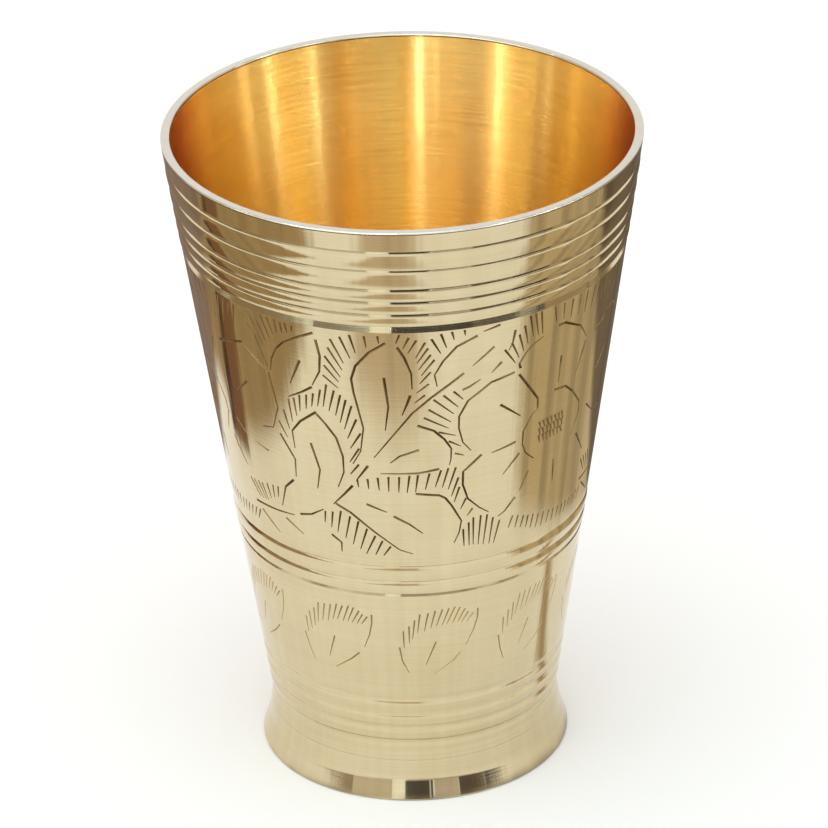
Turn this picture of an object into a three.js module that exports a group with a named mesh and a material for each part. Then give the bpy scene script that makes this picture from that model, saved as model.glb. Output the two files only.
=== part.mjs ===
// Lassi glass: a tall brass tumbler for yoghurt drinks, every piece of it turned on a lathe.
// A tapered wall with reeded bands stands in the socket of a low flared foot. The cup's floor is
// a disc trapped between the wall's spigot and a ledge in the foot, and a fillet of brazing
// spelter seals it from below. Millimetres; the glass stands on z = 0 and its axis is +Z.

import * as THREE from 'three';

// Outline
const HEIGHT = 113.7;
const LIP_DIAMETER = 80;
const WAIST_DIAMETER = 49.1;
const WAIST_HEIGHT = 9.1;
const COVE_POWER = 1.05; // higher keeps the cove upright for longer before it swings out
const FOOT_BAND_FLARE = 1.44; // how much wider than the waist the cove swings out
const FOOT_BAND_DIAMETER = WAIST_DIAMETER + FOOT_BAND_FLARE; // where the cove meets the straight band
const FOOT_BAND_HEIGHT = 4.2;
const FOOT_FLARE = 3.9; // how much wider than the waist the foot stands
const FOOT_DIAMETER = WAIST_DIAMETER + FOOT_FLARE;

// Wall
const LIP_THICKNESS = 1.55;
const LIP_ROUND = 0.25;
const WALL_BASE_THICKNESS = 2.2;

// Reeded band under the lip, counted downwards from the lip
const PLAIN_LIP_BAND = 3.8;
const BROAD_REED = 3.6;
const BROAD_REED_COUNT = 2;
const FINE_REED = 2.4;
const FINE_REED_COUNT = 2;
const LAST_REED = 2.7;
const BORDER_WIDTH = 1.3;
const BORDER_DEPTH = 0.45;

// Reeded band between the two engraved panels, counted upwards
const MIDDLE_BAND_HEIGHT = 41.8;
const MIDDLE_LOWER_REED = 2.6;
const MIDDLE_UPPER_REED = 3.1;

// Turned lines that part the reeds, and the swell of a reed between them
const LINE_WIDTH = 0.6;
const LINE_DEPTH = 0.2;
const LOWER_FLANK_SHARE = 0.75; // of a line's width: the tool is held at a slant
const REED_CROWN = 0.12;

// Soft hollows above the waist, counted upwards from it
const HOLLOW_START = 1.5;
const HOLLOW_PITCH = 3;
const HOLLOW_COUNT = 4;
const HOLLOW_WIDTH = 2.3;
const HOLLOW_DEPTH = 0.28;

// Foot and the joint that it makes with the wall and the floor
const SEAM_BELOW_WAIST = 2;
const FOOT_TOP_THICKNESS = 0.8;
const SOCKET_DEPTH = 2.9;
const LEDGE_WIDTH = 1.3;
const LEDGE_THICKNESS = 1.2;
const FOOT_RING_WIDTH = 1.7;
const FOOT_EDGE_ROUND = 0.35;
const JOINT_GAP = 0.1; // capillary gap that the spelter is drawn into

// Floor disc and spelter
const FLOOR_THICKNESS = 1.6;
const FLOOR_CHAMFER = 0.3;
const CENTRE_MARK_DIAMETER = 3;
const CENTRE_MARK_DEPTH = 0.5;
const FILLET_LEG = 1;
const FILLET_HOLLOW = 0.25;

// Smoothness of the turned surfaces
const TURN_SEGMENTS = 60;
const CURVE_STEPS = 3;
const COVE_STEPS = 8;

// Sizes that follow from the ones above
const lipRadius = LIP_DIAMETER / 2;
const waistRadius = WAIST_DIAMETER / 2;
const footBandRadius = FOOT_BAND_DIAMETER / 2;
const footRadius = FOOT_DIAMETER / 2;
const seamHeight = WAIST_HEIGHT - SEAM_BELOW_WAIST;
const ledgeHeight = seamHeight - SOCKET_DEPTH;
const floorUnderside = ledgeHeight + JOINT_GAP;
const spigotEnd = floorUnderside + FLOOR_THICKNESS + JOINT_GAP;
const socketRadius = outerRadius(seamHeight) - FOOT_TOP_THICKNESS;
const fittedRadius = socketRadius - JOINT_GAP;
const ledgeBoreRadius = socketRadius - LEDGE_WIDTH;
const cupFloorRadius = waistRadius - WALL_BASE_THICKNESS;

// Plain outside of the glass at a height: a flared band, a cove to the waist and a straight taper.
function outerRadius(height) {
  if (height < FOOT_BAND_HEIGHT) {
    return THREE.MathUtils.lerp(footRadius, footBandRadius, height / FOOT_BAND_HEIGHT);
  }
  if (height < WAIST_HEIGHT) {
    const swing = (WAIST_HEIGHT - height) / (WAIST_HEIGHT - FOOT_BAND_HEIGHT);
    return THREE.MathUtils.lerp(waistRadius, footBandRadius, swing ** COVE_POWER);
  }
  const rise = (height - WAIST_HEIGHT) / (HEIGHT - WAIST_HEIGHT);
  return THREE.MathUtils.lerp(waistRadius, lipRadius, rise);
}

// Follows the cove from one height to another in even steps.
function followCove(profile, fromHeight, toHeight) {
  for (let step = 0; step <= COVE_STEPS; step += 1) {
    const height = THREE.MathUtils.lerp(fromHeight, toHeight, step / COVE_STEPS);
    profile.lineTo(outerRadius(height), height);
  }
}

// Cuts a slanted V line round the wall: a long flank that faces up and a short one over it.
function cutLine(profile, height, width, depth) {
  const lower = height - width / 2;
  const bottom = lower + width * LOWER_FLANK_SHARE;
  const upper = height + width / 2;
  profile.lineTo(outerRadius(lower), lower);
  profile.lineTo(outerRadius(bottom) - depth, bottom);
  profile.lineTo(outerRadius(upper), upper);
}

// Swells the wall gently from where the profile stands up to the next turned line.
function swellReed(profile, lineHeight) {
  const top = lineHeight - LINE_WIDTH / 2;
  const middle = (profile.currentPoint.y + top) / 2;
  profile.quadraticCurveTo(outerRadius(middle) + 2 * REED_CROWN, middle, outerRadius(top), top);
}

// Scoops a soft hollow round the wall.
function scoopHollow(profile, height) {
  const lower = height - HOLLOW_WIDTH / 2;
  const upper = height + HOLLOW_WIDTH / 2;
  profile.lineTo(outerRadius(lower), lower);
  profile.quadraticCurveTo(outerRadius(height) - 2 * HOLLOW_DEPTH, height, outerRadius(upper), upper);
}

// Heights of the turned lines in a band, from its lowest line and the widths of its reeds.
function lineHeights(lowest, reeds) {
  const heights = [lowest];
  for (const reed of reeds) {
    heights.push(heights.at(-1) + reed);
  }
  return heights;
}

function cutBand(profile, heights) {
  for (const [index, height] of heights.entries()) {
    if (index > 0) {
      swellReed(profile, height);
    }
    cutLine(profile, height, LINE_WIDTH, LINE_DEPTH);
  }
}

function cutWaistHollows(profile) {
  for (let index = 0; index < HOLLOW_COUNT; index += 1) {
    const height = WAIST_HEIGHT + HOLLOW_START + index * HOLLOW_PITCH;
    scoopHollow(profile, height);
  }
}

// The band under the lip starts at a deeper border over the engraved panel.
function cutLipBand(profile) {
  const fine = Array(FINE_REED_COUNT).fill(FINE_REED);
  const broad = Array(BROAD_REED_COUNT).fill(BROAD_REED);
  const reeds = [...fine, ...broad];
  const reedTotal = reeds.reduce((sum, reed) => sum + reed, LAST_REED);
  const border = HEIGHT - PLAIN_LIP_BAND - reedTotal;
  const lowestLine = border + LAST_REED;
  cutLine(profile, border, BORDER_WIDTH, BORDER_DEPTH);
  swellReed(profile, lowestLine);
  cutBand(profile, lineHeights(lowestLine, reeds));
}

function roundLip(profile) {
  const shoulder = HEIGHT - LIP_ROUND;
  const innerRadius = lipRadius - LIP_THICKNESS;
  profile.lineTo(outerRadius(shoulder), shoulder);
  profile.quadraticCurveTo(lipRadius, HEIGHT, lipRadius - LIP_ROUND, HEIGHT);
  profile.lineTo(innerRadius + LIP_ROUND, HEIGHT);
  profile.quadraticCurveTo(innerRadius, HEIGHT, innerRadius, shoulder);
}

function turn(name, profile, material) {
  const geometry = new THREE.LatheGeometry(profile.getPoints(CURVE_STEPS), TURN_SEGMENTS);
  const mesh = new THREE.Mesh(geometry, material);
  mesh.name = name;
  return mesh;
}

// Tapered wall with its lip, reeds and hollows, and a spigot that drops into the foot's socket.
function makeTaperedWall(material) {
  const shoulder = seamHeight + JOINT_GAP;
  const profile = new THREE.Path();
  profile.moveTo(cupFloorRadius, spigotEnd);
  profile.lineTo(fittedRadius, spigotEnd);
  profile.lineTo(fittedRadius, shoulder);
  followCove(profile, shoulder, WAIST_HEIGHT);
  cutWaistHollows(profile);
  cutBand(profile, lineHeights(MIDDLE_BAND_HEIGHT, [MIDDLE_LOWER_REED, MIDDLE_UPPER_REED]));
  cutLipBand(profile);
  roundLip(profile);
  profile.lineTo(cupFloorRadius, spigotEnd);
  return turn('tapered_wall', profile, material);
}

// Flared foot: stands on a flat ring under a straight band, is hollow below, and carries the socket
// with its ledge.
function makeFlaredFoot(material) {
  const ledgeUnderside = ledgeHeight - LEDGE_THICKNESS;
  const edgeRadius = outerRadius(FOOT_EDGE_ROUND);
  const ringOuterRadius = edgeRadius - FOOT_EDGE_ROUND;
  const ringInnerRadius = ringOuterRadius - FOOT_RING_WIDTH;
  const profile = new THREE.Path();
  profile.moveTo(ringInnerRadius, 0);
  profile.lineTo(ringOuterRadius, 0);
  profile.quadraticCurveTo(edgeRadius, 0, edgeRadius, FOOT_EDGE_ROUND);
  followCove(profile, FOOT_BAND_HEIGHT, seamHeight);
  profile.lineTo(socketRadius, seamHeight);
  profile.lineTo(socketRadius, ledgeHeight);
  profile.lineTo(ledgeBoreRadius, ledgeHeight);
  profile.lineTo(ledgeBoreRadius, ledgeUnderside);
  profile.lineTo(ringInnerRadius, 0);
  return turn('flared_foot', profile, material);
}

// Floor of the cup: a flat disc with broken edges and the lathe's centre mark underneath.
function makeFloorDisc(material) {
  const profile = new THREE.Path();
  profile.moveTo(0, CENTRE_MARK_DEPTH);
  profile.lineTo(CENTRE_MARK_DIAMETER / 2, 0);
  profile.lineTo(fittedRadius - FLOOR_CHAMFER, 0);
  profile.lineTo(fittedRadius, FLOOR_CHAMFER);
  profile.lineTo(fittedRadius, FLOOR_THICKNESS - FLOOR_CHAMFER);
  profile.lineTo(fittedRadius - FLOOR_CHAMFER, FLOOR_THICKNESS);
  profile.lineTo(0, FLOOR_THICKNESS);
  const disc = turn('floor_disc', profile, material);
  disc.position.y = floorUnderside;
  return disc;
}

// Hollow-faced fillet that the molten spelter leaves in the corner of the disc and the ledge.
function makeSpelterFillet(material) {
  const outer = ledgeBoreRadius - JOINT_GAP;
  const inner = outer - FILLET_LEG;
  const profile = new THREE.Path();
  profile.moveTo(outer, -FILLET_LEG);
  profile.lineTo(outer, 0);
  profile.lineTo(inner, 0);
  profile.quadraticCurveTo(outer - FILLET_HOLLOW, -FILLET_HOLLOW, outer, -FILLET_LEG);
  const fillet = turn('spelter_fillet', profile, material);
  fillet.position.y = floorUnderside - JOINT_GAP;
  return fillet;
}

const polishedBrass = new THREE.MeshStandardMaterial({ color: 0xd2c193, roughness: 0.16, metalness: 1 });
const turnedBrass = new THREE.MeshStandardMaterial({ color: 0xd9a63f, roughness: 0.3, metalness: 1 });
const spelter = new THREE.MeshStandardMaterial({ color: 0xd8cba2, roughness: 0.42, metalness: 1 });

// The lathe profiles stand along +Y, so the whole glass is tipped up to stand along +Z.
const glass = new THREE.Group();
glass.rotation.x = Math.PI / 2;
glass.add(makeTaperedWall(polishedBrass));
glass.add(makeFlaredFoot(polishedBrass));
glass.add(makeFloorDisc(turnedBrass));
glass.add(makeSpelterFillet(spelter));

export default glass;
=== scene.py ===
import math
import random

import bmesh
import bpy
from mathutils import Matrix, Vector


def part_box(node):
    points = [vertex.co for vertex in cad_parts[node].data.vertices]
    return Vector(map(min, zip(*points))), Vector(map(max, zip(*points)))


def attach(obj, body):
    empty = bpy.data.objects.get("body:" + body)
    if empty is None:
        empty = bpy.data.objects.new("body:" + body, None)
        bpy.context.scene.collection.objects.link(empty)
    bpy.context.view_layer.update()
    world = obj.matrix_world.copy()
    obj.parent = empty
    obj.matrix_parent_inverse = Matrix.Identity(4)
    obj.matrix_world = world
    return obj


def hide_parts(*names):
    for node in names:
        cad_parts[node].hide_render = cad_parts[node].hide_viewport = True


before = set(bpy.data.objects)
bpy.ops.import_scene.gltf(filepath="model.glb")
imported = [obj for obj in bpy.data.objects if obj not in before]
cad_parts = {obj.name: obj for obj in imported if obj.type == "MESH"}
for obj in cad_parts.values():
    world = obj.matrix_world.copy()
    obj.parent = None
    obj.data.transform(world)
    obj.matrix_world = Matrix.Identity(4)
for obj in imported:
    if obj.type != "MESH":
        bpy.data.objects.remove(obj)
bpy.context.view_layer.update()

# Camera: a long lens a little above the glass, held with a slight roll.
# Its place is in millimetres from the middle of the foot's ring.
MM = 0.001
CAMERA_PLACE = Vector((0.0, -871.1, 514.8)) * MM
CAMERA_PITCH = math.radians(27.544)
CAMERA_YAW = math.radians(0.06)
CAMERA_ROLL = math.radians(1.295)
CAMERA_LENS = 252.2
SENSOR_WIDTH = 36.0

forward = Vector((
    math.sin(CAMERA_YAW) * math.cos(CAMERA_PITCH),
    math.cos(CAMERA_YAW) * math.cos(CAMERA_PITCH),
    -math.sin(CAMERA_PITCH),
))
level = Vector((math.cos(CAMERA_YAW), -math.sin(CAMERA_YAW), 0.0))
upright = level.cross(forward)
side = level * math.cos(CAMERA_ROLL) - upright * math.sin(CAMERA_ROLL)
top = level * math.sin(CAMERA_ROLL) + upright * math.cos(CAMERA_ROLL)
camera_turn = Matrix((side, top, -forward)).transposed().to_4x4()
camera_data = bpy.data.cameras.new("camera")
camera_data.lens = CAMERA_LENS
camera_data.sensor_width = SENSOR_WIDTH
camera = bpy.data.objects.new("camera", camera_data)
camera.matrix_world = Matrix.Translation(CAMERA_PLACE) @ camera_turn
bpy.context.scene.collection.objects.link(camera)
bpy.context.scene.camera = camera
bpy.context.scene.view_settings.view_transform = "Standard"

# Studio: a white table under soft even light. Brown cards that the camera can't see lie and stand
# round the glass, so that the polished metal has something darker than the table to mirror.


class Signal:
    """A value on its way through a material, with which sums and products can be written."""

    def __init__(self, finish, socket):
        self.finish = finish
        self.socket = socket

    def __add__(self, other):
        return self.finish.maths("ADD", self, other)

    def __radd__(self, other):
        return self.finish.maths("ADD", other, self)

    def __sub__(self, other):
        return self.finish.maths("SUBTRACT", self, other)

    def __rsub__(self, other):
        return self.finish.maths("SUBTRACT", other, self)

    def __mul__(self, other):
        return self.finish.maths("MULTIPLY", self, other)

    def __rmul__(self, other):
        return self.finish.maths("MULTIPLY", other, self)

    def __truediv__(self, other):
        return self.finish.maths("DIVIDE", self, other)

    def __rtruediv__(self, other):
        return self.finish.maths("DIVIDE", other, self)

    def between(self, low, high):
        """0 below low, 1 above high, smooth in between."""
        settings = {"interpolation_type": "SMOOTHSTEP"}
        sockets = {"Value": self, "From Min": low, "From Max": high}
        return self.finish.node("ShaderNodeMapRange", settings, **sockets)["Result"]


class Finish:
    """The nodes that make up a material, or the light of a room."""

    def __init__(self, owner):
        self.owner = owner
        owner.use_nodes = True
        self.tree = owner.node_tree
        self.tree.nodes.clear()

    def node(self, kind, settings=None, *ordered, **named):
        """Adds a node, sets it up, fills its sockets and gives back its outputs by name."""
        made = self.tree.nodes.new(kind)
        for key, value in (settings or {}).items():
            setattr(made, key, value)
        shown = [socket for socket in made.inputs if socket.enabled]
        sockets = {socket.name: socket for socket in shown}
        sockets.update(enumerate(shown))
        for key, value in [*enumerate(ordered), *named.items()]:
            if isinstance(value, Signal):
                self.tree.links.new(value.socket, sockets[key])
            else:
                sockets[key].default_value = value
        return {output.name: Signal(self, output) for output in made.outputs if output.enabled}

    def maths(self, operation, *values):
        return self.node("ShaderNodeMath", {"operation": operation}, *values)["Value"]

    def mix(self, share, first, second):
        colours = {"Factor": share, "A": first, "B": second}
        return self.node("ShaderNodeMix", {"data_type": "RGBA"}, **colours)["Result"]

    def noise(self, place, scale, detail):
        return self.node("ShaderNodeTexNoise", Vector=place, Scale=scale, Detail=detail)["Fac"]

    def place(self):
        """Where a point of the piece lies, in metres."""
        return self.node("ShaderNodeTexCoord")["Object"]

    def split(self, vector):
        return self.node("ShaderNodeSeparateXYZ", Vector=vector)

    def surface(self, shader, output="ShaderNodeOutputMaterial"):
        self.node(output, Surface=shader)
        return self.owner


def add_mesh(name, bm, *materials):
    mesh = bpy.data.meshes.new(name)
    bm.to_mesh(mesh)
    bm.free()
    for material in materials:
        mesh.materials.append(material)
    thing = bpy.data.objects.new(name, mesh)
    bpy.context.scene.collection.objects.link(thing)
    return thing


TABLE_HALF = 4.0
TABLE_WHITE = (0.93, 0.93, 0.93, 1)


def table_finish():
    finish = Finish(bpy.data.materials.new("table_white"))
    shader = finish.node("ShaderNodeBsdfDiffuse", Color=TABLE_WHITE)
    return finish.surface(shader["BSDF"])


bm = bmesh.new()
bmesh.ops.create_grid(bm, x_segments=1, y_segments=1, size=TABLE_HALF)
table = add_mesh("table", bm, table_finish())

# A card starts as a sheet that is 1 across, in metres and in its UV map.
HALF_SHEET = 0.5
STREAKS_ROUND = 9.0
STREAK_DETAIL = 3.0
STREAK_LIMITS = (0.35, 0.65)


def bearing_from_axis(finish):
    """Which way a point lies from the axis of the glass, as a vector of length 1, so that it has no seam."""
    place = finish.split(finish.place())
    flat = finish.node("ShaderNodeCombineXYZ", X=place["X"], Y=place["Y"])["Vector"]
    return finish.node("ShaderNodeVectorMath", {"operation": "NORMALIZE"}, flat)["Vector"]


def card_finish(name, glow, width, height, blur, streaks):
    """A glow that fades out towards the card's edges, with streaks that run straight out from the glass."""
    finish = Finish(bpy.data.materials.new(name))
    streak = finish.noise(bearing_from_axis(finish), STREAKS_ROUND, STREAK_DETAIL)
    dim = [part * (1 - streaks) for part in glow]
    colour = finish.mix(streak.between(*STREAK_LIMITS), (*glow, 1), (*dim, 1))
    sheet = finish.split(finish.node("ShaderNodeUVMap")["UV"])
    from_side = finish.maths("PINGPONG", sheet["X"], HALF_SHEET) * (width / blur)
    from_end = finish.maths("PINGPONG", sheet["Y"], HALF_SHEET) * (height / blur)
    cover = from_side.between(0.0, 1.0) * from_end.between(0.0, 1.0)
    clear = finish.node("ShaderNodeBsdfTransparent")["BSDF"]
    light = finish.node("ShaderNodeEmission", Color=colour)["Emission"]
    return finish.surface(finish.node("ShaderNodeMixShader", None, cover, clear, light)["Shader"])


def add_card(name, glow, width, height, blur, streaks, placing):
    """A card that only the metal sees, width along X and height along Y until it is placed."""
    bm = bmesh.new()
    bm.loops.layers.uv.new("card")
    bmesh.ops.create_grid(bm, x_segments=1, y_segments=1, size=HALF_SHEET, calc_uvs=True)
    bmesh.ops.scale(bm, vec=(width, height, 1), verts=bm.verts)
    bmesh.ops.transform(bm, matrix=placing, verts=bm.verts)
    card = add_mesh(name, bm, card_finish(name, glow, width, height, blur, streaks))
    card.visible_camera = False
    card.visible_shadow = False
    card.visible_diffuse = False


CARD_LIFT = 0.0004
# Cards on the table: name, glow, place and size in metres, turn in degrees, blur of the edges in metres,
# depth of the streaks.
TABLE_CARDS = (
    ("left_far", (0.40, 0.31, 0.20), (-0.95, 0.10), (1.00, 1.30), 0, 0.05, 0.3),
    ("right_far", (0.56, 0.47, 0.32), (0.95, 0.10), (1.00, 1.30), 0, 0.05, 0.5),
    ("left_brown", (0.48, 0.36, 0.21), (-0.205, 0.075), (0.21, 0.40), 0, 0.016, 0.25),
    ("left_grey", (0.32, 0.24, 0.20), (-0.125, 0.185), (0.27, 0.22), 8, 0.014, 0.25),
    ("left_red", (0.24, 0.13, 0.07), (-0.150, 0.040), (0.11, 0.036), -3, 0.006, 0.0),
    ("left_black", (0.06, 0.03, 0.03), (-0.140, 0.054), (0.09, 0.013), -7, 0.005, 0.0),
    ("right_tan_1", (0.66, 0.55, 0.37), (0.180, -0.065), (0.23, 0.10), -35, 0.024, 0.35),
    ("right_tan_2", (0.66, 0.55, 0.37), (0.186, 0.016), (0.23, 0.12), 5, 0.014, 0.35),
    ("right_tan_3", (0.66, 0.55, 0.37), (0.153, 0.107), (0.23, 0.12), 35, 0.014, 0.35),
    ("right_dark", (0.21, 0.16, 0.12), (0.130, 0.1685), (0.25, 0.221), -4, 0.012, 0.3),
    ("front_shade", (0.70, 0.59, 0.45), (-0.022, -0.200), (0.095, 0.21), 0, 0.025, 0.15),
    ("right_streak", (0.48, 0.36, 0.23), (0.0545, -0.0015), (0.042, 0.013), 10, 0.006, 0.0),
)
for index, (name, glow, (x, y), (width, depth), turn, blur, streaks) in enumerate(TABLE_CARDS):
    lift = CARD_LIFT * (index + 1)
    placing = Matrix.Translation((x, y, lift)) @ Matrix.Rotation(math.radians(turn), 4, "Z")
    add_card(name, glow, width, depth, blur, streaks, placing)

RING_DISTANCE = 1.5
# Cards that stand round the table: name, glow, degrees to the right of the camera,
# width in degrees, lowest and highest degrees above the table, blur of the edges in metres.
STANDING_CARDS = (
    ("dark_screen", (0.05, 0.04, 0.04), 0.8, 20, 2.2, 14, 0.02),
    ("dark_post", (0.06, 0.05, 0.05), 21, 24, 7, 14, 0.03),
    ("dark_mast", (0.10, 0.07, 0.05), -2.5, 5, 14, 60, 0.03),
    ("brown_mast", (0.45, 0.36, 0.26), 32, 10, 14, 50, 0.05),
    ("near_right", (0.10, 0.08, 0.07), 43, 26, 7, 12, 0.02),
    ("far_right", (0.30, 0.24, 0.17), 70, 40, 7, 14, 0.03),
    ("right_back", (0.25, 0.20, 0.16), 120, 50, -1, 12, 0.05),
    ("left_back", (0.30, 0.25, 0.20), -135, 40, -1, 6, 0.05),
    ("far_left", (0.34, 0.27, 0.18), -75, 64, -1, 9, 0.02),
    ("near_left", (0.28, 0.23, 0.20), -32, 30, 7, 12, 0.03),
    ("low_left", (0.70, 0.64, 0.54), -32, 30, -1, 7, 0.02),
    ("low_kerb", (0.42, 0.32, 0.21), 20, 56, -1, 2.4, 0.01),
    ("low_tan", (0.62, 0.56, 0.50), 20.5, 17, 2.2, 7, 0.01),
    ("low_shadow", (0.09, 0.07, 0.06), 39.5, 19, 0.8, 7, 0.01),
    ("low_dark", (0.07, 0.05, 0.05), 60, 22, -1, 7, 0.01),
    ("low_brown", (0.42, 0.32, 0.22), 97, 53, -1, 7, 0.01),
    ("window", (1.2, 1.2, 1.15), -13.5, 6, -1, 14, 0.02),
    ("brown_left", (0.34, 0.13, 0.05), -118, 76, 24, 72, 0.3),
    ("brown_right", (0.34, 0.13, 0.05), 118, 76, 24, 72, 0.3),
    ("bright_left", (1.80, 1.85, 1.80), -53, 66, 14, 72, 0.4),
)
# Strip lamps for the inside: name, glow, degrees to the right of the camera, width in degrees. They lean
# outwards by a share of those degrees, which keeps their images on the wall upright and narrow.
STRIP_LAMPS = (
    ("strip_1", (46.0, 46.0, 48.0), -9, 1.2),
    ("strip_2", (14.0, 14.0, 13.5), -17.5, 0.8),
    ("strip_3", (50.0, 50.0, 49.0), -50, 1.2),
    ("strip_4", (30.0, 30.0, 29.0), 44, 1.2),
    ("strip_5", (36.0, 36.0, 34.0), 68, 1.2),
    ("strip_6", (20.0, 20.0, 19.0), 83, 1.2),
    ("strip_7", (20.0, 20.0, 19.0), -78, 1.2),
)
STRIP_LEAN = 0.23
STRIP_LOW = 14
STRIP_HIGH = 50
STRIP_BLUR = 0.008


def stand_card(name, glow, azimuth, spread, low, high, blur, lean=0.0):
    """Stands a card on the ring round the table, where it may lean sideways from its foot."""
    bottom = RING_DISTANCE * math.tan(math.radians(low))
    height = RING_DISTANCE * math.tan(math.radians(high)) - bottom
    width = 2 * RING_DISTANCE * math.tan(math.radians(spread / 2))
    placing = (
        Matrix.Rotation(math.radians(azimuth), 4, "Z")
        @ Matrix.Translation((0, -RING_DISTANCE, bottom))
        @ Matrix.Rotation(math.radians(90), 4, "X")
        @ Matrix.Rotation(math.radians(-lean), 4, "Z")
        @ Matrix.Translation((0, height / 2, 0))
    )
    add_card(name, glow, width, height, blur, 0.0, placing)


for card in STANDING_CARDS:
    stand_card(*card)
for name, glow, azimuth, spread in STRIP_LAMPS:
    stand_card(name, glow, azimuth, spread, STRIP_LOW, STRIP_HIGH, STRIP_BLUR, STRIP_LEAN * azimuth)

# The room's light is cool in front, where the camera stands, and warmer at the back.
ROOM_FRONT = (1.12, 1.30, 1.34, 1)
ROOM_BACK = (1.03, 0.98, 0.94, 1)
ROOM_BLEND = (-0.8, 0.2)
room = Finish(bpy.data.worlds.new("soft_room"))
toward_back = room.split(room.node("ShaderNodeTexCoord")["Generated"])["Y"]
room_colour = room.mix(toward_back.between(*ROOM_BLEND), ROOM_FRONT, ROOM_BACK)
room_light = room.node("ShaderNodeBackground", Color=room_colour)["Background"]
bpy.context.scene.world = room.surface(room_light, "ShaderNodeOutputWorld")

SOFTBOX_WIDTH = 0.9
SOFTBOX_PLACE = Vector((-0.2, -0.1, 1.3))
SOFTBOX_POWER = 2.4
GLASS_MIDDLE = Vector((0, 0, 0.06))
softbox_lamp = bpy.data.lights.new("overhead", "AREA")
softbox_lamp.shape = "SQUARE"
softbox_lamp.size = SOFTBOX_WIDTH
softbox_lamp.energy = SOFTBOX_POWER
softbox = bpy.data.objects.new("overhead", softbox_lamp)
softbox.location = SOFTBOX_PLACE
softbox.rotation_euler = (GLASS_MIDDLE - SOFTBOX_PLACE).to_track_quat("-Z", "Y").to_euler()
bpy.context.scene.collection.objects.link(softbox)

# Flared foot: a low coved ring, turned from brass and polished, that carries the glass.
# It is hollow below and has a socket with a ledge inside, into which floor and wall are brazed.
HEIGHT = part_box("tapered_wall")[1].z / MM
LIP_RADIUS = 40.0
WAIST_RADIUS = 24.55
WAIST_HEIGHT = 9.1
COVE_POWER = 1.05
COVE_STEPS = 8
FOOT_RADIUS = 26.5
FOOT_BAND_HEIGHT = 4.2
FOOT_BAND_RADIUS = 25.15
FOOT_BAND_STEPS = 4
SEAM_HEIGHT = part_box("flared_foot")[1].z / MM
FOOT_EDGE_ROUND = 0.35
FOOT_RING_WIDTH = 1.7
FOOT_TOP_THICKNESS = 0.8
LEDGE_HEIGHT = 4.2
LEDGE_WIDTH = 1.3
LEDGE_THICKNESS = 1.2
TURN_STEPS = 288
TURN_MERGE = 0.0001
SHARP_ANGLE = math.radians(22)


def outer_radius(height):
    """Plain outside of the glass: a flared band, a cove up to the waist and a straight taper above it."""
    if height < FOOT_BAND_HEIGHT:
        return FOOT_RADIUS + (FOOT_BAND_RADIUS - FOOT_RADIUS) * height / FOOT_BAND_HEIGHT
    if height < WAIST_HEIGHT:
        swing = (WAIST_HEIGHT - height) / (WAIST_HEIGHT - FOOT_BAND_HEIGHT)
        return WAIST_RADIUS + (FOOT_BAND_RADIUS - WAIST_RADIUS) * swing ** COVE_POWER
    rise = (height - WAIST_HEIGHT) / (HEIGHT - WAIST_HEIGHT)
    return WAIST_RADIUS + (LIP_RADIUS - WAIST_RADIUS) * rise


def follow_outside(low, high, steps):
    heights = [low + (high - low) * step / steps for step in range(steps + 1)]
    return [(outer_radius(height), height) for height in heights]


def round_corner(start, corner, end, steps=4):
    """Points of a soft corner, between where it leaves one face and joins the next."""
    points = []
    for step in range(steps + 1):
        t = step / steps
        weights = ((1 - t) ** 2, 2 * t * (1 - t), t * t)
        radius, height = (
            sum(weight * value for weight, value in zip(weights, values))
            for values in zip(start, corner, end)
        )
        points.append((radius, height))
    return points


def turn_profile(points, closed=True):
    """Spins a profile of (radius, height) points in millimetres once round the axis."""
    bm = bmesh.new()
    verts = [bm.verts.new((radius * MM, 0, height * MM)) for radius, height in points]
    pairs = list(zip(verts, verts[1:]))
    if closed:
        pairs.append((verts[-1], verts[0]))
    edges = [bm.edges.new(pair) for pair in pairs]
    bmesh.ops.spin(
        bm, geom=verts + edges, cent=(0, 0, 0), axis=(0, 0, 1), dvec=(0, 0, 0),
        angle=math.tau, steps=TURN_STEPS, use_merge=True, use_normal_flip=False, use_duplicate=False,
    )
    bmesh.ops.remove_doubles(bm, verts=bm.verts, dist=TURN_MERGE * MM)
    bmesh.ops.recalc_face_normals(bm, faces=bm.faces)
    return bm


def smooth_turning(bm):
    for face in bm.faces:
        face.smooth = True
    for edge in bm.edges:
        edge.smooth = edge.calc_face_angle(0.0) < SHARP_ANGLE


# Brass: tarnish in clouds and lines from the lathe each have a share in its colour, and a share that follows
# the buff's waves is painted sheen: the streaks that the uneven polish shows in reflections.
# Its roughness runs from the least share to more along the lines, and a stain darkens it over the table.
TARNISH_SCALE = 60.0
TARNISH_DETAIL = 4.0
TARNISH_LIMITS = (0.35, 0.75)
TARNISH_SHARE = 0.4
LATHE_WANDER = 0.6
LATHE_DETAIL = 2.0
LATHE_LIMITS = (0.4, 0.65)
LATHE_SHARE = 0.3
BUFF_DETAIL = 2.0
BUFF_SHEEN_LIMITS = (0.35, 0.65)
BUFF_SHEEN_SHARE = 0.3
LEAST_ROUGHNESS = 0.8
LINE_ROUGHNESS = 0.4
QUARTER_TURN = 0.25
STAIN = (0.20, 0.13, 0.09, 1)
STAIN_ROUND = 1.6
STAIN_UP = 30.0
STAIN_DETAIL = 3.0
STAIN_PATCHES = 1.5
STAIN_FALL = 0.6
STAIN_LIMITS = (0.3, 0.9)
STAIN_COVER = 0.6
STAIN_ROUGHNESS = 0.12


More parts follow.
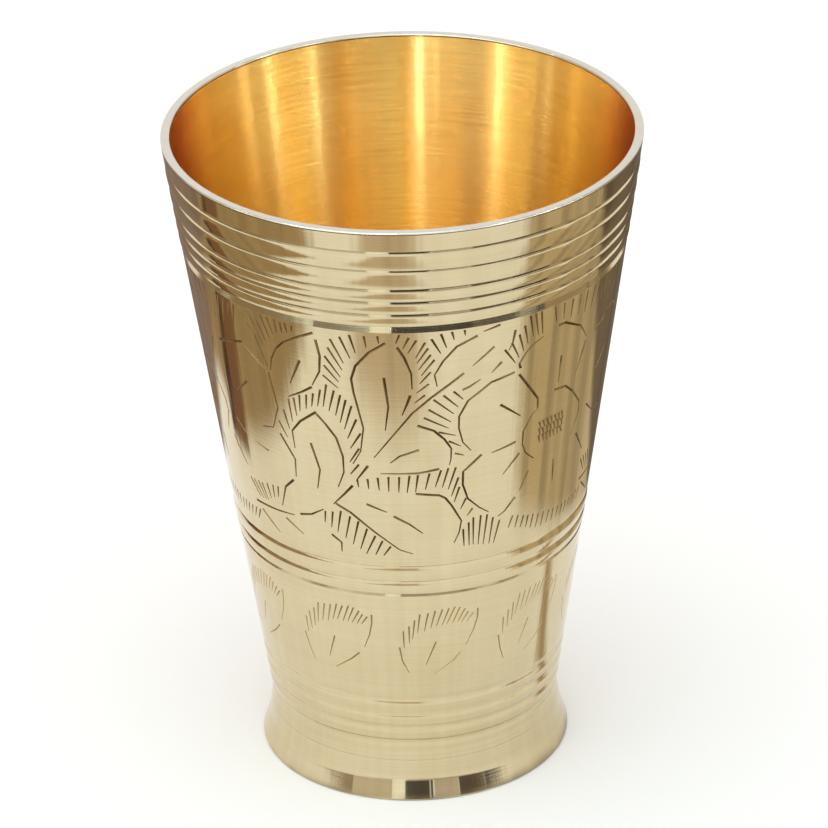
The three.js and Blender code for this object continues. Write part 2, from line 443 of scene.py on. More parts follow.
def girth_noise(finish, around, along, detail):
    """Noise with one scale round the axis and another up it, and with no seam at the back."""
    bearing = finish.split(bearing_from_axis(finish))
    height = finish.split(finish.place())["Z"]
    scaled = {"X": bearing["X"] * around, "Y": bearing["Y"] * around, "Z": height * along}
    place = finish.node("ShaderNodeCombineXYZ", **scaled)["Vector"]
    return finish.noise(place, 1.0, detail)


def brass_finish(
    name, pale, deep, roughness, lathe, waves, anisotropy=0.0, grime=0.0, slant=(1, 1, 1, 1)
):
    """Brass with cloudy tarnish from pale to deep, fine lines left by the lathe, an uneven polish and a
    painted sheen along the polish's waves.

    The lathe gives its lines per metre and their depth, waves how many go round and up and their depth,
    with depths in millimetres. Grime is how high the brown stain over the table reaches, and slant the
    tint of a glancing view.
    """
    finish = Finish(bpy.data.materials.new(name))
    pitch, line_depth = lathe
    around, along, wave_depth = waves
    cloud = finish.noise(finish.place(), TARNISH_SCALE, TARNISH_DETAIL)
    line = girth_noise(finish, LATHE_WANDER, pitch, LATHE_DETAIL)
    wave = girth_noise(finish, around, along, BUFF_DETAIL)
    # Tarnish, lathe lines and the painted sheen along the buff's waves, as one share of the deep colour.
    tarnish_and_sheen = (
        cloud.between(*TARNISH_LIMITS) * TARNISH_SHARE
        + line.between(*LATHE_LIMITS) * LATHE_SHARE
        + wave.between(*BUFF_SHEEN_LIMITS) * BUFF_SHEEN_SHARE
    )
    colour = finish.mix(tarnish_and_sheen, pale, deep)
    rough = roughness * (LEAST_ROUGHNESS + LINE_ROUGHNESS * line)
    if grime:
        patches = girth_noise(finish, STAIN_ROUND, STAIN_UP, STAIN_DETAIL)
        height = finish.split(finish.place())["Z"] / (grime * MM)
        stain = (patches * STAIN_PATCHES - height * STAIN_FALL).between(*STAIN_LIMITS)
        colour = finish.mix(stain * STAIN_COVER, colour, STAIN)
        rough = rough + stain * STAIN_ROUGHNESS
    fine = finish.node("ShaderNodeBump", Strength=1.0, Distance=line_depth * MM, Height=line)["Normal"]
    bump = finish.node("ShaderNodeBump", Distance=wave_depth * MM, Height=wave, Normal=fine)["Normal"]
    sockets = {
        "Base Color": colour,
        "Metallic": 1.0,
        "Roughness": rough,
        "Normal": bump,
        "Anisotropic": anisotropy,
        "Anisotropic Rotation": QUARTER_TURN,
        "Specular Tint": slant,
    }
    return finish.surface(finish.node("ShaderNodeBsdfPrincipled", **sockets)["BSDF"])


OUTSIDE_PALE = (0.69, 0.585, 0.375, 1)
OUTSIDE_DEEP = (0.61, 0.495, 0.30, 1)
OUTSIDE_ROUGHNESS = 0.09
FINE_LATHE = (5000.0, 0.003)
POLISH_WAVES = (14.0, 6.0, 0.05)
FOOT_GRIME = 2.0
outside_brass = brass_finish(
    "outside_brass", OUTSIDE_PALE, OUTSIDE_DEEP, OUTSIDE_ROUGHNESS, FINE_LATHE, POLISH_WAVES,
    grime=FOOT_GRIME,
)

edge_radius = outer_radius(FOOT_EDGE_ROUND)
ring_outer = edge_radius - FOOT_EDGE_ROUND
ring_inner = ring_outer - FOOT_RING_WIDTH
socket_radius = outer_radius(SEAM_HEIGHT) - FOOT_TOP_THICKNESS
ledge_bore = socket_radius - LEDGE_WIDTH
foot_profile = [
    (ring_inner, 0),
    *round_corner((ring_outer, 0), (edge_radius, 0), (edge_radius, FOOT_EDGE_ROUND)),
    *follow_outside(FOOT_EDGE_ROUND, FOOT_BAND_HEIGHT, FOOT_BAND_STEPS)[1:],
    *follow_outside(FOOT_BAND_HEIGHT, SEAM_HEIGHT, COVE_STEPS)[1:],
    (socket_radius, SEAM_HEIGHT),
    (socket_radius, LEDGE_HEIGHT),
    (ledge_bore, LEDGE_HEIGHT),
    (ledge_bore, LEDGE_HEIGHT - LEDGE_THICKNESS),
]
bm = turn_profile(foot_profile)
smooth_turning(bm)
foot = add_mesh("brass_foot", bm, outside_brass)
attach(foot, "root")
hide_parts("flared_foot")

# Floor of the cup: a flat brass disc, left as it came off the lathe with its fine rings.
# It drops on the foot's ledge and the wall's spigot closes on it.
JOINT_GAP = 0.1
FLOOR_THICKNESS = 1.6
FLOOR_CHAMFER = 0.3
CENTRE_MARK_RADIUS = 1.5
CENTRE_MARK_DEPTH = 0.5
floor_under = LEDGE_HEIGHT + JOINT_GAP
floor_top = floor_under + FLOOR_THICKNESS
fitted_radius = socket_radius - JOINT_GAP

INSIDE_PALE = (0.98, 0.79, 0.34, 1)
INSIDE_DEEP = (0.89, 0.60, 0.18, 1)
INSIDE_SLANT = (0.70, 0.10, 0.03, 1)
INSIDE_ROUGHNESS = 0.235
ROUGH_LATHE = (2000.0, 0.028)
LATHE_SHAKE = (4.0, 2500.0, 0.008)
inside_brass = brass_finish(
    "inside_brass", INSIDE_PALE, INSIDE_DEEP, INSIDE_ROUGHNESS, ROUGH_LATHE, LATHE_SHAKE,
    anisotropy=1.0, slant=INSIDE_SLANT,
)
floor_profile = [
    (0, floor_under + CENTRE_MARK_DEPTH),
    (CENTRE_MARK_RADIUS, floor_under),
    (fitted_radius - FLOOR_CHAMFER, floor_under),
    (fitted_radius, floor_under + FLOOR_CHAMFER),
    (fitted_radius, floor_top - FLOOR_CHAMFER),
    (fitted_radius - FLOOR_CHAMFER, floor_top),
    (0, floor_top),
]
bm = turn_profile(floor_profile, closed=False)
smooth_turning(bm)
floor = add_mesh("cup_floor", bm, inside_brass)
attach(floor, "root")
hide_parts("floor_disc")

# Tapered wall: a brass tube turned to a straight taper, with reeded bands, a lip whose grey-white colour is a
# painted cool reflection, and soft hollows above the waist. A graver then cuts the leaf sprays and the row of
# petals into it.
SEAM_GAP = 0.02
SEAM_STEPS = 6
WALL_BASE_THICKNESS = 2.2
LIP_THICKNESS = 1.55
LIP_ROUND = 0.25
# The height of a fine band just below the lip's rounded top, inside and out, that is painted dark: shade
# inside the lip, a dark reflection outside.
LIP_SHADE_BAND = 0.18
PLAIN_LIP_BAND = 3.8
LIP_REEDS = (3.6, 3.6, 2.4, 2.4, 2.7)
BORDER_WIDTH = 1.3
BORDER_DEPTH = 0.45
MIDDLE_BAND_HEIGHT = 41.8
MIDDLE_REEDS = (2.6, 3.1)
LINE_WIDTH = 0.6
LIP_LINE_DEPTH = 0.2
MIDDLE_LINE_DEPTH = 0.185
LINE_LOWER_SHARE = 0.75
REED_CROWN = 0.12
HOLLOW_START = 1.5
HOLLOW_PITCH = 3.0
HOLLOW_COUNT = 4
HOLLOW_WIDTH = 2.3
HOLLOW_DEPTH = 0.28
PANEL_RINGS = 14


def arched(low, high, swell, steps=8):
    """A stretch of wall that swells out between two turned lines."""
    points = []
    for step in range(1, steps):
        t = step / steps
        height = low + (high - low) * t
        points.append((outer_radius(height) + 4 * swell * t * (1 - t), height))
    return points


def hollow(height, width, depth, steps=12):
    """A soft hollow that runs out smoothly into the wall below and above it."""
    points = []
    for step in range(steps + 1):
        up = height + width * (step / steps - 0.5)
        points.append((outer_radius(up) - depth * (1 - math.cos(math.tau * step / steps)) / 2, up))
    return points


def turned_line(height, width, depth):
    """A line left by a tool held at a slant: a long flank that faces up and a short one over it."""
    low = height - width / 2
    high = height + width / 2
    bottom = low + width * LINE_LOWER_SHARE
    return [(outer_radius(low), low), (outer_radius(bottom) - depth, bottom), (outer_radius(high), high)]


def reeded_band(lines, depth):
    """Turned lines from the lowest up, with a swelling reed between each two."""
    points = turned_line(lines[0], LINE_WIDTH, depth)
    for below, above in zip(lines, lines[1:]):
        points += arched(below + LINE_WIDTH / 2, above - LINE_WIDTH / 2, REED_CROWN)
        points += turned_line(above, LINE_WIDTH, depth)
    return points


spigot_end = floor_top + JOINT_GAP
cup_floor_radius = WAIST_RADIUS - WALL_BASE_THICKNESS
inner_lip = LIP_RADIUS - LIP_THICKNESS
shoulder = HEIGHT - LIP_ROUND
shade_band_bottom = shoulder - LIP_SHADE_BAND
shade_band_inner = inner_lip + (cup_floor_radius - inner_lip) * LIP_SHADE_BAND / (shoulder - spigot_end)
lip_lines = [HEIGHT - PLAIN_LIP_BAND]
for reed in LIP_REEDS:
    lip_lines.append(lip_lines[-1] - reed)
border = lip_lines.pop()
middle_lines = [MIDDLE_BAND_HEIGHT]
for reed in MIDDLE_REEDS:
    middle_lines.append(middle_lines[-1] + reed)

wall_profile = [
    (cup_floor_radius, spigot_end),
    (fitted_radius, spigot_end),
    (fitted_radius, SEAM_HEIGHT + SEAM_GAP),
    *follow_outside(SEAM_HEIGHT + SEAM_GAP, WAIST_HEIGHT, SEAM_STEPS),
]
for index in range(HOLLOW_COUNT):
    wall_profile += hollow(WAIST_HEIGHT + HOLLOW_START + index * HOLLOW_PITCH, HOLLOW_WIDTH, HOLLOW_DEPTH)
# The plain panels get rings too, so that the graver's cuts don't leave long slivers.
petal_panel = (wall_profile[-1][1], middle_lines[0] - LINE_WIDTH / 2)
spray_panel = (middle_lines[-1] + LINE_WIDTH / 2, border - BORDER_WIDTH / 2)
wall_profile += follow_outside(*petal_panel, PANEL_RINGS)[1:-1]
wall_profile += reeded_band(middle_lines, MIDDLE_LINE_DEPTH)
wall_profile += follow_outside(*spray_panel, PANEL_RINGS)[1:-1]
wall_profile += turned_line(border, BORDER_WIDTH, BORDER_DEPTH)
wall_profile += arched(border + BORDER_WIDTH / 2, lip_lines[-1] - LINE_WIDTH / 2, REED_CROWN)
wall_profile += reeded_band(lip_lines[::-1], LIP_LINE_DEPTH)
wall_profile += [
    (outer_radius(shade_band_bottom), shade_band_bottom),
    *round_corner((outer_radius(shoulder), shoulder), (LIP_RADIUS, HEIGHT), (LIP_RADIUS - LIP_ROUND, HEIGHT)),
    *round_corner((inner_lip + LIP_ROUND, HEIGHT), (inner_lip, HEIGHT), (inner_lip, shoulder)),
    (shade_band_inner, shade_band_bottom),
]

# The lip is the same brass as the wall; its grey, almost silver colour is a painted reflection of the cool,
# bluish light that it mirrors.
LIP_PALE_PAINTED_SHEEN = (0.70, 0.70, 0.64, 1)
LIP_DEEP_PAINTED_SHEEN = (0.64, 0.63, 0.56, 1)
LIP_ROUGHNESS = 0.22
LIP_LATHE = (5000.0, 0.001)
LIP_WAVES = (30.0, 200.0, 0.01)
lip_painted_cool_sheen = brass_finish("lip_painted_cool_sheen", LIP_PALE_PAINTED_SHEEN, LIP_DEEP_PAINTED_SHEEN, LIP_ROUGHNESS, LIP_LATHE, LIP_WAVES)

CUT_DARK = (0.15, 0.095, 0.038, 1)
CUT_BROWN = (0.27, 0.18, 0.075, 1)
CUT_CLEAN = (0.46, 0.33, 0.16, 1)
CUT_CLEAN_BELOW = (38.0, 46.0)
CUT_GRIME_SCALE = 300.0
CUT_GRIME_DETAIL = 2.0
CUT_GRIME_LIMITS = (0.3, 0.7)
CUT_ROUGHNESS = 0.5


def cut_finish():
    """Brown tarnish that polishing can't reach at the bottom of a cut, rubbed cleaner on the low petals."""
    finish = Finish(bpy.data.materials.new("cut_tarnish_and_rim_shade"))
    grime = finish.noise(finish.place(), CUT_GRIME_SCALE, CUT_GRIME_DETAIL)
    dull = finish.mix(grime.between(*CUT_GRIME_LIMITS), CUT_DARK, CUT_BROWN)
    height = finish.split(finish.place())["Z"] / MM
    colour = finish.mix(height.between(*CUT_CLEAN_BELOW), CUT_CLEAN, dull)
    sockets = {"Base Color": colour, "Metallic": 1.0, "Roughness": CUT_ROUGHNESS}
    return finish.surface(finish.node("ShaderNodeBsdfPrincipled", **sockets)["BSDF"])


cut_tarnish_and_rim_shade = cut_finish()
# The cuts' dark brown also covers a fine band just below the lip's rounded top, inside and out: there it is
# painted shade inside the lip and a painted dark reflection on its outer rounding.
OUTSIDE, INSIDE, LIP_PAINTED_SHEEN, CUT_AND_RIM_SHADE = range(4)
bm = turn_profile(wall_profile)
for face in bm.faces:
    middle = face.calc_center_median() / MM
    if middle.z > shoulder:
        face.material_index = LIP_PAINTED_SHEEN
    # The fine band under the shoulder takes the cuts' dark brown as painted shade and a painted dark
    # reflection.
    elif middle.z > shade_band_bottom:
        face.material_index = CUT_AND_RIM_SHADE
    elif face.normal.x * middle.x + face.normal.y * middle.y < 0:
        face.material_index = INSIDE
wall = add_mesh("engraved_wall", bm, outside_brass, inside_brass, lip_painted_cool_sheen, cut_tarnish_and_rim_shade)

# The graver's strokes are drawn flat, in millimetres: along the girth of the panel's middle, and up.
# Each is a row of places: it starts with a deep bite and lifts out to a thin tail.
SPRAY_GIRTH_RADIUS = 33.0
SPRAY_COUNT = 3
SPRAY_CUTS = (
    # leaf under the border, with its rib
    ((-3.1, 92.6), (-5.8, 90.6), (-7.8, 87.8), (-8.5, 85.2), (-8.4, 82.5), (-7.1, 75.6), (-7.8, 70.8),
     (-9.4, 68.3)),
    ((-1.6, 91.7), (-0.5, 89.7), (0.6, 86.7), (0.6, 83.6)),
    ((0.4, 82.4), (0.0, 80.9), (-1.0, 78.3)),
    ((-3.6, 85.8), (-3.1, 80.0), (-3.7, 75.4)),
    # stem from the root of the leaves to the flower
    ((8.4, 85.7), (3.4, 81.6), (0.6, 78.8), (-5.7, 69.9)),
    ((-6.9, 68.1), (-9.1, 64.9)),
    ((-9.8, 63.7), (-11.1, 62.0), (-13.6, 59.4)),
    # leaf over the stem
    ((10.3, 92.8), (7.4, 91.2), (5.2, 88.7), (4.1, 86.1), (4.3, 83.7)),
    ((14.0, 94.1), (11.4, 93.5)),
    ((13.1, 90.1), (9.8, 87.0)),
    ((14.6, 86.6), (13.0, 84.9)),
    # small leaf in the middle
    ((1.4, 76.3), (4.0, 75.1), (5.5, 73.1), (6.8, 71.1), (6.8, 69.1), (6.4, 67.9)),
    ((4.9, 67.2), (1.6, 66.8), (-4.9, 66.7)),
    ((1.6, 71.5), (-1.5, 70.2), (-3.1, 68.8)),
    # broad leaf at the bottom
    ((0.9, 62.6), (4.7, 62.0), (5.9, 61.2), (7.1, 59.7), (8.7, 56.2), (8.5, 54.0), (7.5, 51.8)),
    ((-13.0, 59.5), (-10.6, 58.2), (-6.3, 54.7), (-2.0, 51.1), (0.3, 50.3)),
    ((-7.5, 60.2), (-4.1, 58.9)),
    ((-2.9, 58.0), (-0.2, 56.5), (2.0, 54.4)),
    # pointed leaf on the left
    ((-14.9, 77.6), (-18.1, 75.0), (-19.7, 72.6), (-19.7, 69.2)),
    ((-14.8, 77.2), (-13.5, 75.6), (-11.8, 72.9), (-11.1, 69.4), (-11.1, 66.2), (-12.2, 63.2)),
    ((-16.4, 70.9), (-15.4, 65.8), (-16.1, 61.9)),
    # ground below it
    ((-31.8, 54.3), (-25.9, 54.5), (-21.8, 55.0)),
    ((-20.6, 55.5), (-18.2, 56.2), (-15.6, 57.8)),
    ((-24.0, 53.7), (-20.5, 51.5)),
    ((-30.3, 53.1), (-26.3, 50.0)),
    ((-14.5, 53.1), (-12.7, 51.7), (-12.7, 49.8)),
    # leaf under the border on the left
    ((-14.1, 93.2), (-16.6, 91.9), (-19.4, 90.0), (-20.8, 88.3), (-21.9, 85.9), (-22.3, 83.7)),
    ((-13.7, 92.1), (-13.3, 88.9), (-13.6, 85.7), (-15.0, 82.9)),
    ((-16.7, 87.2), (-18.9, 82.2)),
    ((-15.2, 82.4), (-17.0, 80.9), (-19.6, 79.3)),
    ((-27.2, 94.2), (-24.8, 89.5), (-23.0, 84.2)),
    # flower: ring round its eye
    ((17.7, 83.3), (21.9, 77.1), (21.9, 74.9), (20.8, 74.0), (19.5, 71.5), (19.5, 68.9), (20.4, 66.9),
     (22.1, 65.2)),
    ((25.3, 77.3), (27.9, 77.0), (30.4, 75.0), (32.5, 72.1), (32.8, 69.7), (31.3, 65.9)),
    # flower: petals from the left round to the right
    ((17.0, 84.0), (13.0, 83.2), (9.2, 80.3), (8.0, 77.5), (7.9, 75.0), (8.6, 72.1), (10.0, 70.1)),
    ((8.3, 82.6), (9.5, 83.1), (11.3, 84.1)),
    ((11.9, 69.1), (8.9, 66.2), (8.8, 63.6), (9.8, 60.5), (12.0, 58.3), (13.7, 57.1)),
    ((18.8, 58.5), (17.0, 56.3), (15.6, 55.5)),
    ((21.3, 63.0), (19.6, 59.5)),
    ((17.8, 84.4), (17.6, 85.4), (18.6, 87.0), (20.0, 88.4), (21.8, 89.1)),
    ((24.5, 90.0), (26.1, 90.0), (30.1, 87.6), (32.0, 84.8)),
    ((32.2, 84.0), (30.2, 78.1)),
    ((16.5, 92.4), (16.1, 90.0), (15.5, 88.6)),
    ((34.8, 84.6), (41.0, 87.0), (46.2, 83.0), (47.0, 76.4), (45.3, 71.8), (43.0, 71.3)),
    ((46.6, 71.2), (49.2, 66.7), (48.7, 63.3)),
    ((48.1, 62.4), (46.2, 60.4), (44.7, 56.0)),
    # flower: veins in the petals
    ((14.8, 78.1), (18.5, 74.8)),
    ((18.1, 69.9), (13.7, 68.9)),
    ((19.0, 67.4), (15.9, 63.9)),
    ((27.1, 63.0), (27.5, 58.5)),
    ((26.0, 83.9), (26.0, 78.5)),
    ((35.4, 69.9), (38.5, 67.5)),
    ((33.2, 65.5), (36.3, 60.8)),
    ((40.6, 79.3), (37.2, 75.6)),
    ((43.4, 66.6), (40.0, 67.4)),
)
# Fans of short strokes that shade the ground: where strokes start, where they lift out, and how many
# there are. The places given are evenly spaced in that count.
SPRAY_FANS = (
    # round the leaf under the border
    (((-13.0, 85.3), (-12.4, 89.1), (-11.4, 92.7), (-8.5, 93.9), (-4.2, 93.8)),
     ((-10.8, 83.1), (-10.2, 85.4), (-9.5, 88.1), (-7.7, 90.3), (-4.2, 92.6)), 9),
    (((-1.0, 94.2), (2.6, 92.5), (4.0, 89.1), (2.6, 82.2)),
     ((-1.6, 92.6), (1.1, 89.7), (2.0, 86.2), (1.0, 80.8)), 10),
    # between the leaves on the left
    (((-22.3, 73.8), (-19.8, 78.9), (-17.6, 80.2), (-15.0, 81.1), (-12.7, 83.4), (-10.4, 81.8),
      (-8.9, 79.8), (-7.8, 74.6), (-8.3, 68.3)),
     ((-21.0, 71.0), (-19.4, 74.5), (-17.8, 77.0), (-15.6, 78.4), (-13.6, 78.9), (-11.6, 77.5),
      (-10.3, 75.0), (-9.6, 71.2), (-9.9, 65.9)), 17),
    # over the leaf on the stem, and between stem and flower
    (((3.5, 93.2), (4.8, 94.0), (6.5, 94.2), (8.5, 94.3)),
     ((4.8, 90.2), (5.7, 91.3), (7.0, 92.5), (8.6, 93.2)), 4),
    (((6.9, 82.6), (3.8, 81.2), (2.4, 77.7)), ((8.4, 80.7), (7.1, 78.0), (6.3, 75.2)), 5),
    (((4.6, 74.8), (6.4, 72.6), (7.2, 70.2)), ((7.3, 73.6), (8.4, 71.4), (8.9, 69.4)), 3),
    # under the small leaf and down its side
    (((-8.9, 65.1), (-5.3, 65.9), (-1.8, 66.1), (1.4, 66.3), (5.1, 67.0), (7.7, 67.4), (8.4, 63.2),
      (10.7, 58.4)),
     ((-8.8, 63.5), (-5.2, 63.3), (-2.0, 62.9), (0.8, 62.9), (4.1, 63.8), (6.4, 63.0), (7.4, 60.2),
      (9.9, 57.2)), 15),
    # under the broad leaf
    (((-15.3, 57.6), (-12.3, 58.1), (-9.1, 56.5), (-6.4, 54.0), (-3.6, 52.0)),
     ((-15.6, 55.3), (-13.2, 53.7), (-10.4, 51.8), (-8.1, 50.0), (-5.0, 49.9)), 9),
    # ground between broad leaf and flower, and on under the flower
    (((9.2, 54.6), (10.9, 56.6), (13.6, 56.6), (16.0, 54.8)),
     ((9.4, 51.0), (11.2, 51.0), (13.1, 50.6), (15.2, 50.3)), 7),
    (((18.7, 54.9), (24.8, 53.2), (31.5, 52.2), (38.0, 52.8)),
     ((18.1, 52.6), (24.4, 50.4), (31.2, 50.2), (36.9, 50.6)), 16),
    # under the border, right and left of the flower
    (((15.0, 88.9), (17.3, 91.1), (19.0, 94.2), (20.9, 94.3)),
     ((16.9, 85.6), (18.2, 87.7), (19.7, 89.9), (21.5, 89.9)), 7),
    (((23.6, 94.2), (33.6, 94.2), (40.6, 94.0)), ((24.0, 91.2), (33.0, 89.6), (39.6, 88.6)), 12),
    (((-25.6, 94.2), (-21.0, 94.2), (-17.5, 93.8)), ((-23.2, 88.4), (-20.6, 91.4), (-17.5, 92.6)), 8),
    # over the ground on the left
    (((-32.4, 58.8), (-29.2, 59.0), (-24.8, 59.8)), ((-30.2, 55.6), (-28.0, 56.0), (-25.2, 57.6)), 7),
)
# The flower's eye is filled with rows of slanting dashes.
EYE_MIDDLE = (25.5, 70.1)
EYE_COLUMNS = 7
EYE_ROWS = 3
EYE_STEP = (0.85, 1.4)
EYE_DASH = (-0.45, 1.6)

PETAL_GIRTH_RADIUS = 28.0
PETAL_COUNT = 10
PETAL_START = 4.2
PETAL_CUTS = (
    ((-6.7, 30.8), (-6.2, 28.0), (-5.2, 25.4)),
    ((6.6, 37.5), (6.5, 35.6), (6.0, 33.2), (4.8, 30.3)),
    ((3.8, 29.0), (2.3, 27.4), (-0.8, 25.1)),
    ((-0.4, 31.8), (-2.1, 27.1)),
)
PETAL_FAN = (
    ((-6.0, 34.2), (-3.0, 37.8), (0.6, 38.5), (3.6, 38.6), (5.8, 36.8)),
    ((-5.8, 30.8), (-3.5, 33.8), (-0.4, 35.1), (2.3, 35.4), (4.7, 35.1)),
    13,
)


def part_way(a, b, share):
    return (a[0] + (b[0] - a[0]) * share, a[1] + (b[1] - a[1]) * share)


def fan_strokes(starts, ends, count):
    """A fan of strokes between the given ones, which are evenly spaced in its count."""
    strokes = []
    for index in range(count):
        left = index / (count - 1) * (len(starts) - 1)
        given = min(int(left), len(starts) - 2)
        strokes.append([part_way(line[given], line[given + 1], left - given) for line in (starts, ends)])
    return strokes


def eye_strokes():
    strokes = []
    lean = EYE_DASH[0] / 2
    reach = EYE_DASH[1] / 2
    for column in range(EYE_COLUMNS):
        for row in range(EYE_ROWS):
            across = EYE_MIDDLE[0] + (column - (EYE_COLUMNS - 1) / 2) * EYE_STEP[0]
            up = EYE_MIDDLE[1] + (row - (EYE_ROWS - 1) / 2) * EYE_STEP[1]
            strokes.append(((across + lean, up + reach), (across - lean, up - reach)))
    return strokes


# The graver's tip, seen along the stroke, as shares of the bite: a flat V with its top clear of the wall.
GRAVER_TIP = ((-1.8, 0.8), (1.8, 0.8), (0, -1))
tip = bpy.data.curves.new("graver_tip", "CURVE")
tip.dimensions = "2D"
tip_outline = tip.splines.new("POLY")
tip_outline.points.add(len(GRAVER_TIP) - 1)
tip_outline.use_cyclic_u = True
for point, (x, y) in zip(tip_outline.points, GRAVER_TIP):
    point.co = (x * MM, y * MM, 0, 1)
graver = bpy.data.objects.new("graver_tip", tip)
bpy.context.scene.collection.objects.link(graver)

# Strokes nearer to each other than this go to different layers, since a layer is one cutting tool
# and may not cross itself. All sizes are in millimetres, and weights are shares of the bite.
NEAR = 0.6
BITE = 0.25
OUTLINE_WEIGHT = 0.95
FAN_WEIGHT = 0.8
EYE_WEIGHT = 1.1
PETAL_WEIGHT = 0.6
TAIL_LIFT = 0.6
TAIL_POWER = 1.5
HAND_WANDER = 0.12
HAND_SEED = 11
STROKE_STEP = 1.6
CUT_MERGE = 0.00001
hand = random.Random(HAND_SEED)


def new_drawing():
    """An empty drawing whose strokes all have the shape of the graver's tip."""
    paths = bpy.data.curves.new("cuts", "CURVE")
    paths.dimensions = "3D"
    paths.twist_mode = "Z_UP"
    paths.use_fill_caps = True
    paths.bevel_mode = "OBJECT"
    paths.bevel_object = graver
    return paths


def stepped(line, step):
    """The same line with places added, so that it can be bent round the wall."""
    places = [line[0]]
    for a, b in zip(line, line[1:]):
        count = math.ceil(math.dist(a, b) / step)
        places += [part_way(a, b, index / count) for index in range(1, count + 1)]
    return places


def cells_of(places, girth, grown):
    """The squares of a coarse grid that a stroke passes over, or also those next to them."""
    reach = range(-1, 2) if grown else range(1)
    columns = round(girth / NEAR)
    cells = set()
    for x, y in stepped(places, NEAR / 3):
        for across in reach:
            for up in reach:
                cells.add(((round(x / NEAR) + across) % columns, round(y / NEAR) + up))
    return cells


def engrave(layers, stroke, shift, girth, weight):
    """Draws one stroke in the first layer where it touches no other, as thick as the cut is deep."""
    corners = []
    for x, y in stroke:
        across = x + shift + hand.uniform(-1, 1) * HAND_WANDER
        up = y + hand.uniform(-1, 1) * HAND_WANDER
        corners.append((across, up))
    places = stepped(corners, STROKE_STEP)
    own = cells_of(places, girth, False)
    for paths, taken in layers:
        if not own & taken:
            break
    else:
        paths, taken = new_drawing(), set()
        layers.append((paths, taken))
    taken |= cells_of(places, girth, True)
    spline = paths.splines.new("POLY")
    spline.points.add(len(places) - 1)
    for index, (point, (x, y)) in enumerate(zip(spline.points, places)):
        share = index / (len(places) - 1)
        point.co = (x * MM, y * MM, 0, 1)
        point.radius = weight * BITE * (1.0 - TAIL_LIFT * share ** TAIL_POWER)


def wrap_drawing(paths, girth_radius):
    """Turns a flat drawing into a mesh of V-shaped slivers and lays it round the wall."""
    flat = bpy.data.objects.new(paths.name, paths)
    bpy.context.scene.collection.objects.link(flat)
    mesh = bpy.data.meshes.new_from_object(flat.evaluated_get(bpy.context.evaluated_depsgraph_get()))
    bpy.data.objects.remove(flat)
    bm = bmesh.new()
    bm.from_mesh(mesh)
    bmesh.ops.remove_doubles(bm, verts=bm.verts, dist=CUT_MERGE * MM)
    for vert in bm.verts:
        angle = vert.co.x / MM / girth_radius
        radius = outer_radius(vert.co.y / MM) * MM + vert.co.z
        vert.co = (radius * math.sin(angle), -radius * math.cos(angle), vert.co.y)
    return add_mesh(paths.name, bm, cut_tarnish_and_rim_shade)


spray_layers = []
spray_girth = math.tau * SPRAY_GIRTH_RADIUS
for repeat in range(SPRAY_COUNT):
    shift = repeat * spray_girth / SPRAY_COUNT
    for stroke in SPRAY_CUTS:
        engrave(spray_layers, stroke, shift, spray_girth, OUTLINE_WEIGHT)
    for fan in SPRAY_FANS:
        for stroke in fan_strokes(*fan):
            engrave(spray_layers, stroke, shift, spray_girth, FAN_WEIGHT)
    for stroke in eye_strokes():
        engrave(spray_layers, stroke, shift, spray_girth, EYE_WEIGHT)
petal_layers = []
petal_girth = math.tau * PETAL_GIRTH_RADIUS
for repeat in range(PETAL_COUNT):
    shift = PETAL_START + repeat * petal_girth / PETAL_COUNT
    for stroke in (*PETAL_CUTS, *fan_strokes(*PETAL_FAN)):
        engrave(petal_layers, stroke, shift, petal_girth, PETAL_WEIGHT)

cutters = [wrap_drawing(paths, SPRAY_GIRTH_RADIUS) for paths, taken in spray_layers]
cutters += [wrap_drawing(paths, PETAL_GIRTH_RADIUS) for paths, taken in petal_layers]
bpy.data.objects.remove(graver)
for cutter in cutters:
    cut = wall.modifiers.new(cutter.name, "BOOLEAN")
    cut.operation = "DIFFERENCE"
    cut.solver = "MANIFOLD"
    cut.material_mode = "TRANSFER"
    cut.object = cutter
engraved = bpy.data.meshes.new_from_object(wall.evaluated_get(bpy.context.evaluated_depsgraph_get()))
wall.modifiers.clear()
wall.data = engraved
for cutter in cutters:
    bpy.data.objects.remove(cutter)

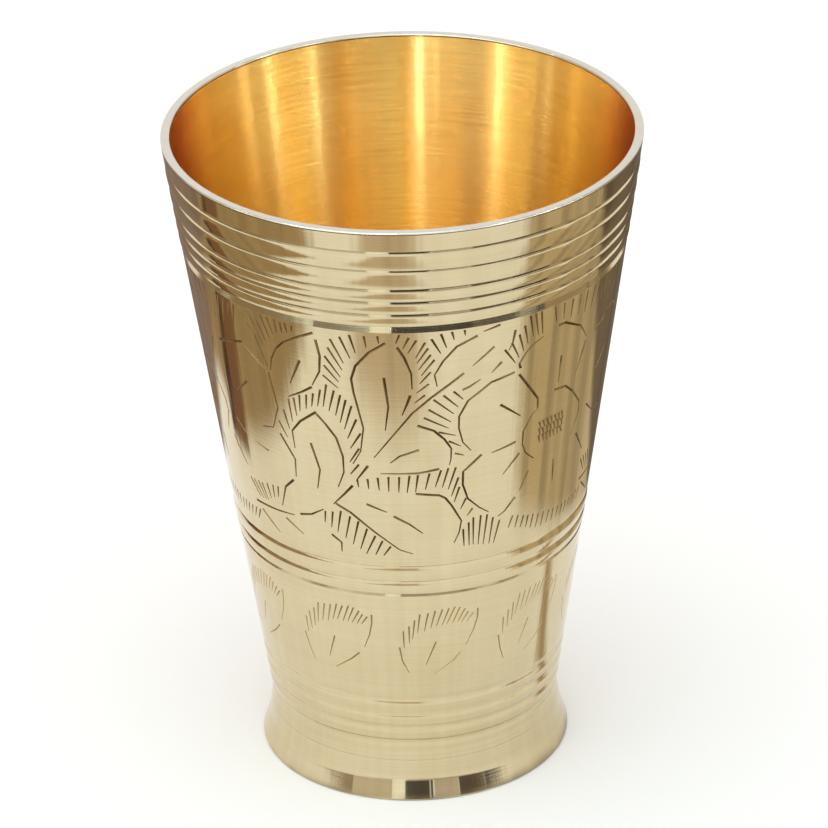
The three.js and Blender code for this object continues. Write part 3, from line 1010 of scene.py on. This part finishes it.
# Polished metal mirrors every unevenness, so the plain taper's corners take its exact normal.
taper = math.atan2(LIP_RADIUS - WAIST_RADIUS, HEIGHT - WAIST_HEIGHT)
bm = bmesh.new()
bm.from_mesh(engraved)
smooth_turning(bm)
for face in bm.faces:
    if face.material_index == CUT_AND_RIM_SHADE:
        face.smooth = False
bm.to_mesh(engraved)
bm.free()
normals = [normal.vector.copy() for normal in engraved.corner_normals]
for face in engraved.polygons:
    height = face.center.z / MM
    on_panel = any(low < height < high for low, high in (petal_panel, spray_panel))
    if face.material_index != OUTSIDE or not on_panel:
        continue
    for corner in face.loop_indices:
        place = engraved.vertices[engraved.loops[corner].vertex_index].co
        outward = Vector((place.x, place.y, 0)).normalized()
        normals[corner] = outward * math.cos(taper) - Vector((0, 0, math.sin(taper)))
engraved.normals_split_custom_set(normals)
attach(wall, "root")
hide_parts("tapered_wall")

# Spelter fillet: the brazing metal that ran into the joint and set as a dull, hollow-faced bead
# in the corner between the cup's floor and the foot's ledge.
FILLET_LEG = 1.0
FILLET_HOLLOW = 0.25
FILLET_STEPS = 6
bead_outer = ledge_bore - JOINT_GAP
bead_top = floor_under - JOINT_GAP
bead_inner = (bead_outer - FILLET_LEG, bead_top)
bead_corner = (bead_outer - FILLET_HOLLOW, bead_top - FILLET_HOLLOW)
bead_foot = (bead_outer, bead_top - FILLET_LEG)
bead_profile = [
    (bead_outer, bead_top),
    *round_corner(bead_inner, bead_corner, bead_foot, FILLET_STEPS),
]
SPELTER_PALE = (0.68, 0.59, 0.36, 1)
SPELTER_DEEP = (0.55, 0.45, 0.25, 1)
SPELTER_ROUGHNESS = 0.45
SPELTER_GRAIN = (5000.0, 0.002)
SPELTER_WAVES = (30.0, 900.0, 0.03)
spelter = brass_finish(
    "spelter", SPELTER_PALE, SPELTER_DEEP, SPELTER_ROUGHNESS, SPELTER_GRAIN, SPELTER_WAVES
)
bm = turn_profile(bead_profile)
smooth_turning(bm)
bead = add_mesh("spelter_bead", bm, spelter)
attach(bead, "root")
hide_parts("spelter_fillet")
